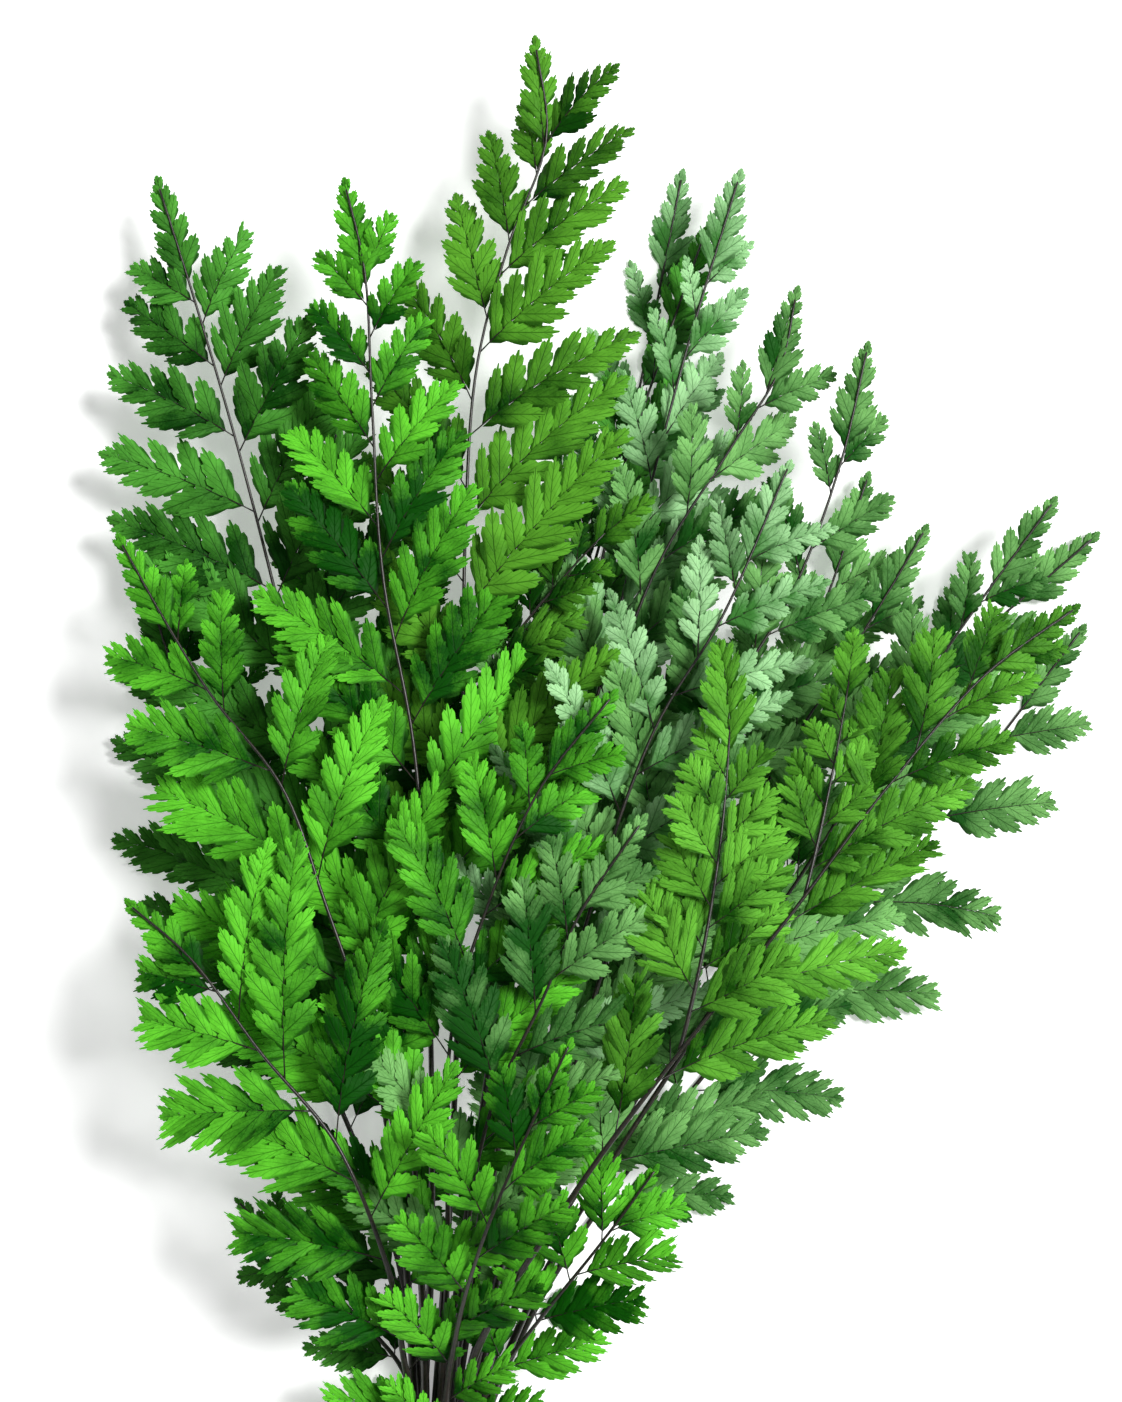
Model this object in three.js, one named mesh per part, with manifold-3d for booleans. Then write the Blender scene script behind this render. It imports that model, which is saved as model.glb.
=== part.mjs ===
// A cut and dried bunch of leatherleaf fern, lying flat on a surface. Twenty-four fronds fan out from one
// tie near their cut ends. The tie is at the zero of the drawing, the fronds run along +Y and +Z is up.
import * as THREE from 'three';
import { mergeVertices } from 'three/addons/utils/BufferGeometryUtils.js';
import Module from 'manifold-3d';

// ---- Driving dimensions, in millimetres ----
const fanLength = 522; // from the tie to the farthest tip
const fanWidth = 372; // from the farthest left rachis to the farthest right one
const cutLength = 68; // stem left beyond the tie
const cutStagger = 9; // how unevenly the ends were cut
const stemRadius = 1.75; // of a stipe where it is tied
const tipRadius = 0.6; // of a rachis at its tip
const pinnaThickness = 1.5; // of a side leaf at its midrib, edges included
const stemClearance = 0.7; // between two stems in the bundle
const layerClearance = 0.9; // between two fronds that cross
const shortChord = 25; // of the straight steps that a stem rises in
const longChord = 45; // of the straight steps that it goes on in
const arch = 0.3; // how much the middle of the fan rises above its layers
const riseLength = 125; // over which the stems leave the bundle for their layers
const tieWidth = 9;
const tieThickness = 1.4;
const tieClearance = 0.35; // between the tie and the stems

// ---- Values that follow from them ----
const stemPitch = 2 * stemRadius + stemClearance;
const layerPitch = 2 * stemRadius + layerClearance;
const bundleFloor = tieThickness + tieClearance + stemRadius; // height of the lowest stems' axes at the tie
const drawn = { length: 522, width: 372 }; // the fan that the routes in the table are drawn for
const stretch = { x: fanWidth / drawn.width, y: fanLength / drawn.length };

// ---- The fronds ----
// row and place: where the stem lies in the bundle, from the lowest row up and from left to right.
// layer: the order in which the fronds lie on each other, from 0 on the surface.
// route: the rachis seen from above, from past the tie to the tip.
// leafFrom: the share of the route, from the tie, that stays bare, on its left and on its right.
// spread: the angle in radians at which its lowest side leaves leave the rachis.
// left and right: the lengths of the side leaves on each side, from the lowest to the tip.
const rows = [6, 6, 5, 4, 2, 1];
const fronds = [
  {
    name: 'low_left', row: 0, place: 0, layer: 0, leafFrom: [0.15, 0.28], spread: 0.8,
    route: [[-14, 36], [-34, 60], [-56, 80], [-76, 100]],
    left: [28, 34, 32, 26, 16], right: [30, 32, 26, 20, 12],
  },
  {
    name: 'left_rear', row: 0, place: 1, layer: 1, leafFrom: [0.2, 0.2], spread: 0.85,
    route: [[-17, 80], [-44, 150], [-71, 215], [-94, 280], [-112, 335]],
    left: [50, 60, 64, 60, 52, 42, 32, 18], right: [50, 64, 68, 62, 52, 40, 28, 16],
  },
  {
    name: 'tall_rear', row: 0, place: 2, layer: 0, leafFrom: [0.45, 0.45], spread: 0.55,
    route: [[10, 100], [28, 200], [50, 300], [72, 400], [88, 480]],
    left: [72, 72, 64, 54, 42, 30, 16], right: [72, 72, 64, 54, 42, 30, 16],
  },
  {
    name: 'right_rear_inner', row: 0, place: 3, layer: 2, leafFrom: [0.2, 0.24], spread: 0.65,
    route: [[22, 80], [58, 165], [100, 245], [136, 312], [156, 368]],
    left: [56, 66, 70, 66, 54, 42, 30, 16], right: [56, 66, 70, 66, 54, 42, 30, 16],
  },
  {
    name: 'right_rear_outer', row: 0, place: 4, layer: 1, leafFrom: [0.22, 0.26], spread: 0.7,
    route: [[30, 70], [78, 150], [130, 228], [185, 297], [240, 346]],
    left: [66, 68, 62, 54, 44, 32, 18], right: [62, 66, 62, 52, 40, 28, 16],
  },
  {
    name: 'low_right', row: 0, place: 5, layer: 0, leafFrom: [0.16, 0.1], spread: 0.85,
    route: [[34, 62], [78, 125], [134, 190], [188, 250], [236, 312]],
    left: [50, 62, 66, 60, 52, 42, 30, 18], right: [34, 46, 56, 60, 56, 46, 34, 20],
  },
  {
    name: 'left_top', row: 1, place: 0, layer: 6, leafFrom: [0.34, 0.4], spread: 0.84,
    route: [[-14, 90], [-32, 200], [-54, 300], [-74, 378], [-90, 432], [-103, 473]],
    left: [66, 72, 72, 72, 70, 66, 60, 52, 42, 28, 16], right: [72, 74, 74, 72, 66, 62, 56, 48, 38, 26, 15],
  },
  {
    name: 'left_inner', row: 1, place: 1, layer: 4, leafFrom: [0.46, 0.46], spread: 0.7,
    route: [[-9, 100], [-19, 200], [-29, 285], [-36, 340], [-39, 384]],
    left: [62, 64, 60, 52, 42, 30, 16], right: [62, 62, 58, 50, 40, 28, 15],
  },
  {
    name: 'right_top_rear', row: 1, place: 2, layer: 3, leafFrom: [0.46, 0.46], spread: 0.6,
    route: [[12, 120], [32, 240], [58, 345], [80, 412], [96, 457]],
    left: [66, 64, 58, 48, 38, 26, 14], right: [62, 60, 54, 46, 36, 24, 12],
  },
  {
    name: 'right_top', row: 1, place: 3, layer: 5, leafFrom: [0.46, 0.46], spread: 0.56,
    route: [[18, 110], [40, 220], [66, 325], [88, 410], [108, 476]],
    left: [66, 64, 58, 50, 42, 32, 22, 14], right: [70, 68, 62, 54, 46, 36, 26, 14],
  },
  {
    name: 'right_middle_rear', row: 1, place: 4, layer: 4, leafFrom: [0.38, 0.38], spread: 0.6,
    route: [[30, 95], [72, 180], [122, 262], [158, 318], [176, 348]],
    left: [64, 64, 58, 48, 38, 26, 14], right: [64, 64, 58, 48, 38, 26, 14],
  },
  {
    name: 'right_outer', row: 1, place: 5, layer: 6, leafFrom: [0.3, 0.26], spread: 0.64,
    route: [[36, 75], [88, 160], [140, 238], [184, 306], [222, 358]],
    left: [60, 64, 60, 54, 46, 36, 28, 14], right: [58, 64, 60, 54, 46, 36, 26, 14],
  },
  {
    name: 'centre_left_tall', row: 2, place: 0, layer: 10, leafFrom: [0.4, 0.42], spread: 0.68,
    route: [[-3, 100], [-4, 200], [-9, 270], [-20, 330], [-24, 390], [-27, 440], [-34, 470]],
    left: [79, 79, 74, 66, 58, 50, 42, 34, 26, 16], right: [74, 74, 70, 62, 54, 46, 38, 32, 24, 16],
  },
  {
    name: 'top_centre', row: 2, place: 1, layer: 8, leafFrom: [0.42, 0.44], spread: 0.7,
    route: [[4, 120], [8, 240], [9, 346], [13, 405], [24, 448], [38, 488], [34, 522]],
    left: [68, 70, 68, 64, 60, 56, 50, 42, 30, 18], right: [80, 100, 88, 78, 70, 62, 56, 48, 38, 24],
  },
  {
    name: 'right_upper', row: 2, place: 2, layer: 7, leafFrom: [0.46, 0.46], spread: 0.6,
    route: [[18, 120], [44, 230], [76, 330], [104, 376], [122, 405], [128, 432]],
    left: [68, 66, 60, 50, 40, 28, 16], right: [72, 70, 64, 54, 44, 32, 18],
  },
  {
    name: 'centre_right', row: 2, place: 3, layer: 11, leafFrom: [0.38, 0.38], spread: 0.82,
    route: [[26, 100], [50, 200], [76, 275], [100, 315], [124, 369]],
    left: [66, 70, 66, 60, 52, 44, 34, 22], right: [66, 70, 68, 62, 54, 46, 34, 22],
  },
  {
    name: 'right_middle', row: 2, place: 4, layer: 9, leafFrom: [0.38, 0.34], spread: 0.62,
    route: [[34, 105], [66, 212], [102, 285], [126, 325], [143, 370], [153, 412]],
    left: [70, 72, 66, 56, 46, 36, 26, 14], right: [66, 70, 64, 56, 46, 36, 26, 14],
  },
  {
    name: 'left_middle', row: 3, place: 0, layer: 12, leafFrom: [0.26, 0.36], spread: 0.76,
    route: [[-8, 90], [-22, 160], [-40, 215], [-55, 255], [-80, 287], [-97, 314], [-113, 342]],
    left: [60, 70, 72, 66, 54, 40, 22], right: [80, 80, 68, 56, 44, 30, 16],
  },
  {
    name: 'centre', row: 3, place: 1, layer: 13, leafFrom: [0.3, 0.33], spread: 0.7,
    route: [[3, 90], [5, 170], [18, 215], [36, 255], [61, 287]],
    left: [64, 70, 66, 56, 44, 30, 16], right: [62, 66, 60, 50, 40, 28, 16],
  },
  {
    name: 'centre_low', row: 3, place: 2, layer: 14, leafFrom: [0.32, 0.32], spread: 0.7,
    route: [[8, 80], [18, 140], [37, 182], [50, 212], [71, 243]],
    left: [54, 60, 58, 48, 36, 22], right: [52, 56, 52, 42, 30, 18],
  },
  {
    name: 'low_front', row: 3, place: 3, layer: 15, leafFrom: [0.34, 0.06], spread: 0.7,
    route: [[16, 34], [35, 64], [56, 94], [76, 122]],
    left: [38, 44, 42, 34, 20], right: [32, 40, 42, 38, 28, 16],
  },
  {
    name: 'front_left', row: 4, place: 0, layer: 16, leafFrom: [0.1, 0.12], spread: 0.82,
    route: [[-12, 40], [-18, 86], [-34, 130], [-61, 163], [-86, 196], [-107, 214]],
    left: [38, 48, 54, 58, 54, 44, 30, 18], right: [60, 66, 64, 78, 86, 64, 38, 20],
  },
  {
    name: 'front_right', row: 4, place: 1, layer: 17, leafFrom: [0.38, 0.4], spread: 0.48,
    route: [[14, 55], [45, 111], [82, 162], [120, 209], [157, 257], [191, 295], [223, 318]],
    left: [56, 142, 62, 96, 56, 44, 34, 20], right: [64, 68, 62, 54, 46, 38, 28, 18],
  },
  {
    name: 'front_centre', row: 5, place: 0, layer: 18.5, leafFrom: [0.08, 0.1], spread: 0.62,
    route: [[2, 36], [8, 70], [18, 104], [32, 138], [46, 168]],
    left: [36, 44, 46, 42, 32, 18], right: [34, 42, 44, 38, 28, 16],
  },
];

// ---- Where a frond lies ----

/** The stem's place in the bundle at the tie: x across, z up. */
function slotOf(frond) {
  return {
    x: (frond.place - (rows[frond.row] - 1) / 2) * stemPitch,
    z: bundleFloor + frond.row * stemPitch,
  };
}

/** The length of stem beyond the tie. */
function cutOf(index) {
  return cutLength + cutStagger * Math.sin(2.4 * index);
}

/** How much of the arch there is over a point of the fan: 1 in its middle, a little below 0 at its rim. */
function archOver(x, y) {
  const across = (x - 0.12 * fanWidth) / (0.46 * fanWidth);
  const along = (y - 0.5 * fanLength) / (0.42 * fanLength);
  return 1.5 * Math.exp(-across * across - along * along) - 0.5;
}

/** A stem's radius at a share of its length from the tie. */
function radiusAt(share) {
  return THREE.MathUtils.lerp(stemRadius, tipRadius, THREE.MathUtils.clamp(share, 0, 1) ** 0.8);
}

/** The height of a frond's middle surface over a point: its place in the bundle, then its layer. */
function heightAt(frond, x, y) {
  const away = Math.max(y + 0.35 * Math.abs(x) - tieWidth, 0);
  const risen = THREE.MathUtils.smoothstep(away, 0, riseLength);
  const [tipAcross, tipAlong] = frond.route.at(-1);
  const lowest = radiusAt(Math.hypot(x, y) / Math.hypot(tipAcross * stretch.x, tipAlong * stretch.y));
  const layer = lowest + frond.layer * layerPitch * (1 + arch * archOver(x, y));
  return THREE.MathUtils.lerp(slotOf(frond).z, layer, risen);
}

/** The rachis from the cut end to the tip, as the ends of the straight chords that follow its curve. */
function chordEndsOf(frond, index) {
  const x = slotOf(frond).x;
  const inTie = tieWidth / 2 + 1; // the stems run straight this far each way from the tie's middle
  const points = [
    new THREE.Vector3(1.35 * x, -cutOf(index), 0),
    new THREE.Vector3(x, -inTie, 0),
    new THREE.Vector3(x, inTie, 0),
  ];
  for (const [across, along] of frond.route) {
    points.push(new THREE.Vector3(across * stretch.x, along * stretch.y, 0));
  }
  const curve = new THREE.CatmullRomCurve3(points, false, 'centripetal');
  const length = curve.getLength();
  const bends = Math.round(riseLength / shortChord);
  const shares = [0, (cutOf(index) - inTie) / length];
  for (let i = 0; i <= bends; i += 1) {
    shares.push((cutOf(index) + inTie + riseLength * i / bends) / length);
  }
  const last = shares.at(-1);
  const straight = Math.ceil((1 - last) * length / longChord);
  for (let i = 1; i <= straight; i += 1) {
    shares.push(last + (1 - last) * i / straight);
  }
  return shares.map((share) => {
    const { x: across, y: along } = curve.getPointAt(Math.min(share, 1));
    return new THREE.Vector3(across, along, heightAt(frond, across, along));
  });
}

/** The chords as one curve, for the places where side leaves leave it. */
function chordsThrough(ends) {
  const chords = new THREE.CurvePath();
  for (let i = 1; i < ends.length; i += 1) {
    chords.add(new THREE.LineCurve3(ends[i - 1], ends[i]));
  }
  return chords;
}

// ---- Solids ----
const wasm = await Module();
wasm.setup();

/**
 * A closed body swept along +Y, each of its points moved to place(along, side, up), where side and up go
 * round a circle of radius 1. A pointed one closes on a single point at its far end.
 */
function sweptSolid(sides, steps, pointed, place) {
  const tube = new THREE.CylinderGeometry(pointed ? 0 : 1, 1, 1, sides, steps);
  tube.deleteAttribute('normal');
  tube.deleteAttribute('uv');
  const points = tube.attributes.position;
  for (let i = 0; i < points.count; i += 1) {
    const along = points.getY(i) + 0.5;
    const radius = pointed && along < 1 ? 1 - along : 1;
    const moved = place(along, points.getX(i) / radius, points.getZ(i) / radius);
    points.setXYZ(i, moved.x, moved.y, moved.z);
  }
  const merged = mergeVertices(tube);
  return new wasm.Manifold(new wasm.Mesh({
    numProp: 3,
    vertProperties: merged.attributes.position.array,
    triVerts: new Uint32Array(merged.index.array),
  }));
}

/** A solid's surface as a geometry. */
function geometryOf(solid) {
  const { vertProperties, triVerts } = solid.getMesh();
  const geometry = new THREE.BufferGeometry();
  geometry.setAttribute('position', new THREE.BufferAttribute(vertProperties, 3));
  geometry.setIndex(new THREE.BufferAttribute(triVerts, 1));
  geometry.computeVertexNormals();
  return geometry;
}

/** The stipe and rachis: a six-sided stem that thins towards its tip. */
function stemSolid(ends) {
  const steps = ends.length - 1;
  const reach = Math.hypot(ends[steps].x, ends[steps].y);
  return sweptSolid(6, steps, false, (along, side, up) => {
    const i = Math.round(along * steps);
    const ahead = ends[Math.min(i + 1, steps)].clone().sub(ends[Math.max(i - 1, 0)]).setZ(0).normalize();
    const radius = radiusAt(ends[i].y < 0 ? 0 : Math.hypot(ends[i].x, ends[i].y) / reach);
    const out = new THREE.Vector3(ahead.y * side, -ahead.x * side, up).multiplyScalar(radius);
    return out.add(ends[i]);
  });
}

/** Half of a side leaf's width at a share of its length: narrow where it leaves the stem, pointed at its end. */
function pinnaProfile(along) {
  return 0.12 + 1.28 * along ** 0.45 * (1 - along) ** 0.8;
}

/** One side leaf: a thin blade with a ridge along its midrib, curving forward from the rachis. */
function pinnaSolid(frond, base, heading, side, length, width) {
  const curl = -side * 0.38; // how far it turns back towards the rachis, in radians
  const lift = base.z - heightAt(frond, base.x, base.y);
  const edge = Math.sin(Math.PI * 2 / 3); // of the circle of radius 1 that the blade's three corners lie on
  const steps = base.y < riseLength ? 6 : length > 40 ? 3 : 2; // more where the heap's surface is steep
  return sweptSolid(3, steps, true, (along, across, up) => {
    const mean = heading + curl * along / 2;
    const turn = heading + curl * along;
    const half = 0.5 * width * pinnaProfile(along);
    const placeAt = (share) => [
      base.x + Math.cos(mean) * length * along + Math.sin(turn) * half * share,
      base.y + Math.sin(mean) * length * along - Math.cos(turn) * half * share,
    ];
    const [x, y] = placeAt(across);
    const height = heightAt(frond, x, y);
    // Where the heap hollows under the blade, its midrib stays above the line between its edges.
    const spanned = (heightAt(frond, ...placeAt(-edge)) + heightAt(frond, ...placeAt(edge))) / 2;
    const middle = Math.abs(across) < edge / 2 ? Math.max(spanned, height) : height;
    const thick = 0.5 * pinnaThickness * (1 - 0.4 * along);
    return new THREE.Vector3(x, y, middle + lift * (1 - along) + up * thick);
  });
}

/** A whole frond: its stem joined with every side leaf. */
function frondSolid(frond, index) {
  const ends = chordEndsOf(frond, index);
  const chords = chordsThrough(ends);
  const total = chords.getLength();
  let solid = stemSolid(ends);
  const [bareLeft, bareRight] = frond.leafFrom;
  for (const [side, lengths, bare] of [[1, frond.left, bareLeft], [-1, frond.right, bareRight]]) {
    const first = THREE.MathUtils.lerp(cutOf(index) / total, 1, bare);
    const shareAt = (reached) => first + (0.985 - first) * (1 - (1 - Math.min(reached, 1)) ** 1.25);
    lengths.forEach((length, i) => {
      const reached = (i + (side < 0 ? 0.45 : 0)) / lengths.length;
      const share = shareAt(reached);
      const room = (shareAt(reached + 1 / lengths.length) - share) * total;
      const ahead = chords.getTangentAt(share);
      const spread = frond.spread * THREE.MathUtils.lerp(1, 0.67, reached);
      const heading = Math.atan2(ahead.y, ahead.x) + side * spread;
      const width = Math.min(0.95 * room * Math.sin(spread) + 3, 0.4 * length);
      solid = solid.add(pinnaSolid(frond, chords.getPointAt(share), heading, side, length, width));
    });
  }
  return solid;
}

// ---- Materials ----
const leafGreen = new THREE.MeshStandardMaterial({ color: 0x46a52c, roughness: 0.55, metalness: 0 });
const shadedGreen = new THREE.MeshStandardMaterial({ color: 0x2f7a2b, roughness: 0.6, metalness: 0 });
const twine = new THREE.MeshStandardMaterial({ color: 0x9a7a4c, roughness: 0.9, metalness: 0 });

// ---- The bunch ----
const group = new THREE.Group();

fronds.forEach((frond, index) => {
  const mesh = new THREE.Mesh(geometryOf(frondSolid(frond, index)), frond.layer < 6 ? shadedGreen : leafGreen);
  mesh.name = `frond_${frond.name}`;
  group.add(mesh);
});

/** The stems that a taut band touches: the corners of the bundle, once round. */
function bundleCorners() {
  const right = rows.map((count, row) => new THREE.Vector2((count - 1) / 2 * stemPitch, bundleFloor + row * stemPitch));
  const corners = [];
  for (const next of right) {
    while (corners.length > 1) {
      const edge = corners.at(-1).clone().sub(corners.at(-2));
      if (edge.cross(next.clone().sub(corners.at(-1))) > 1e-6) {
        break;
      }
      corners.pop();
    }
    corners.push(next);
  }
  const left = corners.map((corner) => new THREE.Vector2(-corner.x, corner.y)).reverse();
  return [...corners, ...left];
}

/** The tie: one flat band wound tightly round the whole bundle, round over each corner stem. */
function tieGeometry() {
  const corners = bundleCorners();
  const outlineAt = (Kind, out) => {
    const outline = new Kind();
    corners.forEach((corner, i) => {
      const before = corner.clone().sub(corners.at(i - 1)).angle() - Math.PI / 2;
      const after = corners[(i + 1) % corners.length].clone().sub(corner).angle() - Math.PI / 2;
      outline.absarc(corner.x, corner.y, stemRadius + tieClearance + out, before, after, false);
    });
    return outline;
  };
  const band = outlineAt(THREE.Shape, tieThickness);
  band.holes.push(outlineAt(THREE.Path, 0));
  const geometry = new THREE.ExtrudeGeometry(band, { depth: tieWidth, bevelEnabled: false, curveSegments: 3 });
  geometry.rotateX(Math.PI / 2);
  return geometry.translate(0, tieWidth / 2, 0);
}

const tie = new THREE.Mesh(tieGeometry(), twine);
tie.name = 'stem_tie';
group.add(tie);

// The origin is under the middle of the bunch, on the surface it lies on.
const box = new THREE.Box3().setFromObject(group, true);
const centre = box.getCenter(new THREE.Vector3());
group.position.set(-centre.x, -centre.y, -box.min.z);

export default group;
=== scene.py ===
import math

import bpy
import numpy as np
from mathutils.geometry import delaunay_2d_cdt
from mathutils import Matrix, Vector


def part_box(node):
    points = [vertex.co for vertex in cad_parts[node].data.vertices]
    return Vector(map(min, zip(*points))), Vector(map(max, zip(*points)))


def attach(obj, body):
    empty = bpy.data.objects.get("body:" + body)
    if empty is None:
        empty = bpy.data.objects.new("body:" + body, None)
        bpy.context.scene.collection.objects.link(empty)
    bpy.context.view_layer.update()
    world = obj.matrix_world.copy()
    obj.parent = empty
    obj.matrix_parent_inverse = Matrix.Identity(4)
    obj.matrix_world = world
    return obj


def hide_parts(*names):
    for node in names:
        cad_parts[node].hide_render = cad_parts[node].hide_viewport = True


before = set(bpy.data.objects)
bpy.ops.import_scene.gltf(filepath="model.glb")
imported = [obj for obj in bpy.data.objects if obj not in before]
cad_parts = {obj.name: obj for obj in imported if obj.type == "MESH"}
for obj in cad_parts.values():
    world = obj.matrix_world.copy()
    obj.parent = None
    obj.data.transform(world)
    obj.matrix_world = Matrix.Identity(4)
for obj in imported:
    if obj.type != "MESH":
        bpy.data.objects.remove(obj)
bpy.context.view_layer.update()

mm = 0.001

# ---- How the fronds lie ----
# Twenty-four cut fronds, laid in layers and fanned out from one tie. Each row of the table is one frond: its
# name, the row and place of its stem in the bundle, its layer, the share of its stem that is bare (left,
# right), the angle of its lowest side leaves (radians), how far its blade is rolled round the stem (degrees),
# its kind of green, the breadth of its side leaves for their length (left, right), the route of its stem seen
# from above, and the lengths of its side leaves from the lowest up, left and then right. Lengths are in
# millimetres, with the tie at zero.
tie_low, tie_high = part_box("stem_tie")
tie_at = np.array([(tie_low[0] + tie_high[0]) / 2, (tie_low[1] + tie_high[1]) / 2, 0.0])
tie_width = (tie_high[1] - tie_low[1]) / mm
fan_width = 372.0
fan_length = 522.0
stem_radius = 1.75
tip_radius = 0.6
stem_clearance = 0.7
layer_clearance = 0.9
tie_thickness = 1.4
tie_clearance = 0.35
stem_pitch = 2 * stem_radius + stem_clearance
layer_pitch = 2 * stem_radius + layer_clearance
bundle_floor = stem_radius + tie_thickness + tie_clearance
cut_length = 68.0
cut_stagger = 9.0
arch = 0.3
rise_length = 125.0
rows = (6, 6, 5, 4, 2, 1)
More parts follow.
